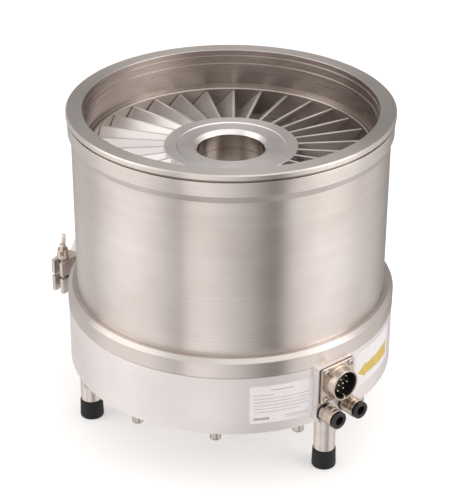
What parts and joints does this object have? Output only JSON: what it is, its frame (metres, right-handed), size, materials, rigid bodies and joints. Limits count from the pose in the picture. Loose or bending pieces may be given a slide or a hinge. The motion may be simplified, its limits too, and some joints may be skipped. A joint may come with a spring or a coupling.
{
  "type": "turbomolecular pump",
  "caption": "High-vacuum turbomolecular pump with a large ISO-K inlet, bladed rotor, clamped exhaust port, receptacle and coolant fittings on a three-legged base.",
  "frame": {"origin": "centre of the inlet sealing face, on the rotor axis", "axes": "+Z out of the inlet along the rotor axis; -Y towards the side with the electrical receptacle and coolant fittings"},
  "size_m": [0.3, 0.3577, 0.31],
  "materials": {
    "casing_steel": "turned stainless steel",
    "base_aluminium": "bead-blasted aluminium",
    "cover_aluminium": "machined aluminium",
    "leg_aluminium": "turned aluminium",
    "rotor_aluminium": "milled aluminium alloy",
    "stator_aluminium": "machined aluminium",
    "shaft_steel": "ground steel",
    "magnet": "potted windings and magnets",
    "screw_steel": "stainless screws",
    "nickel_plate": "nickel plate",
    "port_steel": "turned stainless steel",
    "clamp_aluminium": "die-cast aluminium",
    "foot_rubber": "moulded rubber",
    "seal": "elastomer",
    "insert_plastic": "moulded insert",
    "collar_plastic": "moulded collar",
    "contact_gold": "gold-plated contacts"
  },
  "bodies": {
    "pump": {"casing": "casing_steel", "base_body": "base_aluminium", "casing_seal": "seal", "casing_screws": "screw_steel", "casing_screw_washers": "screw_steel", "leg_1": "leg_aluminium", "leg_2": "leg_aluminium", "leg_3": "leg_aluminium", "rubber_foot_1": "foot_rubber", "rubber_foot_2": "foot_rubber", "rubber_foot_3": "foot_rubber", "bottom_cover": "cover_aluminium", "cover_seal": "seal", "cover_screws": "screw_steel", "stator_disc_1": "stator_aluminium", "stator_disc_2": "stator_aluminium", "stator_disc_3": "stator_aluminium", "stator_disc_4": "stator_aluminium", "stator_disc_5": "stator_aluminium", "spacer_ring_1": "stator_aluminium", "spacer_ring_2": "stator_aluminium", "spacer_ring_3": "stator_aluminium", "spacer_ring_4": "stator_aluminium", "spacer_ring_5": "stator_aluminium", "spacer_ring_6": "stator_aluminium", "drag_stator": "stator_aluminium", "bearing_column": "stator_aluminium", "column_screws": "screw_steel", "touchdown_bearings": "shaft_steel", "radial_bearing_magnets": "magnet", "axial_bearing_magnets": "magnet", "motor_stator": "magnet", "receptacle_shell": "nickel_plate", "receptacle_insert": "insert_plastic", "receptacle_contacts": "contact_gold", "receptacle_screws": "screw_steel", "coolant_fitting_left": "nickel_plate", "coolant_fitting_right": "nickel_plate", "fitting_seals": "seal", "exhaust_port": "port_steel", "exhaust_blank": "port_steel", "exhaust_centring_ring": "port_steel", "exhaust_seal": "seal", "clamp_half_upper": "clamp_aluminium", "clamp_half_lower": "clamp_aluminium", "clamp_hinge_pin": "screw_steel", "swing_bolt_pin": "screw_steel"},
    "rotor": {"rotor": "rotor_aluminium", "rotor_cap": "rotor_aluminium", "rotor_screws": "screw_steel", "shaft": "shaft_steel", "motor_magnet": "magnet", "bearing_laminations": "magnet", "thrust_disc": "shaft_steel"},
    "release_collar_left": {"release_collar_left": "collar_plastic"},
    "release_collar_right": {"release_collar_right": "collar_plastic"},
    "swing_bolt": {"swing_bolt": "screw_steel"},
    "clamp_washer": {"clamp_washer": "screw_steel"},
    "wing_nut": {"wing_nut": "nickel_plate"}
  },
  "joints": [
    {"name": "rotor_spin", "type": "hinge", "parent": "pump", "child": "rotor", "pos_m": [0, 0, 0], "axis": [0, 0, 1], "continuous": true},
    {"name": "release_collar_left_press", "type": "slide", "parent": "pump", "child": "release_collar_left", "axis": [0, 1, 0], "range_m": [0, 0.0012], "stiffness_N_per_m": 2000},
    {"name": "release_collar_right_press", "type": "slide", "parent": "pump", "child": "release_collar_right", "axis": [0, 1, 0], "range_m": [0, 0.0012], "stiffness_N_per_m": 2000},
    {"name": "swing_bolt_swing", "type": "hinge", "parent": "pump", "child": "swing_bolt", "pos_m": [-0.0747, 0.16448, -0.2225], "axis": [0.1736, -0.9848, 0], "range_deg": [0, 110]},
    {"name": "clamp_washer_travel", "type": "slide", "parent": "swing_bolt", "child": "clamp_washer", "axis": [0, 0, 1], "range_m": [0, 0.008]},
    {"name": "wing_nut_turn", "type": "hinge", "parent": "clamp_washer", "child": "wing_nut", "pos_m": [-0.0747, 0.16448, -0.1955], "axis": [0, 0, 1], "range_deg": [0, 2880]}
  ],
  "couplings": [
    {"joint": "wing_nut_turn", "follows": "clamp_washer_travel", "rad_per_m": 6283.2}
  ]
}
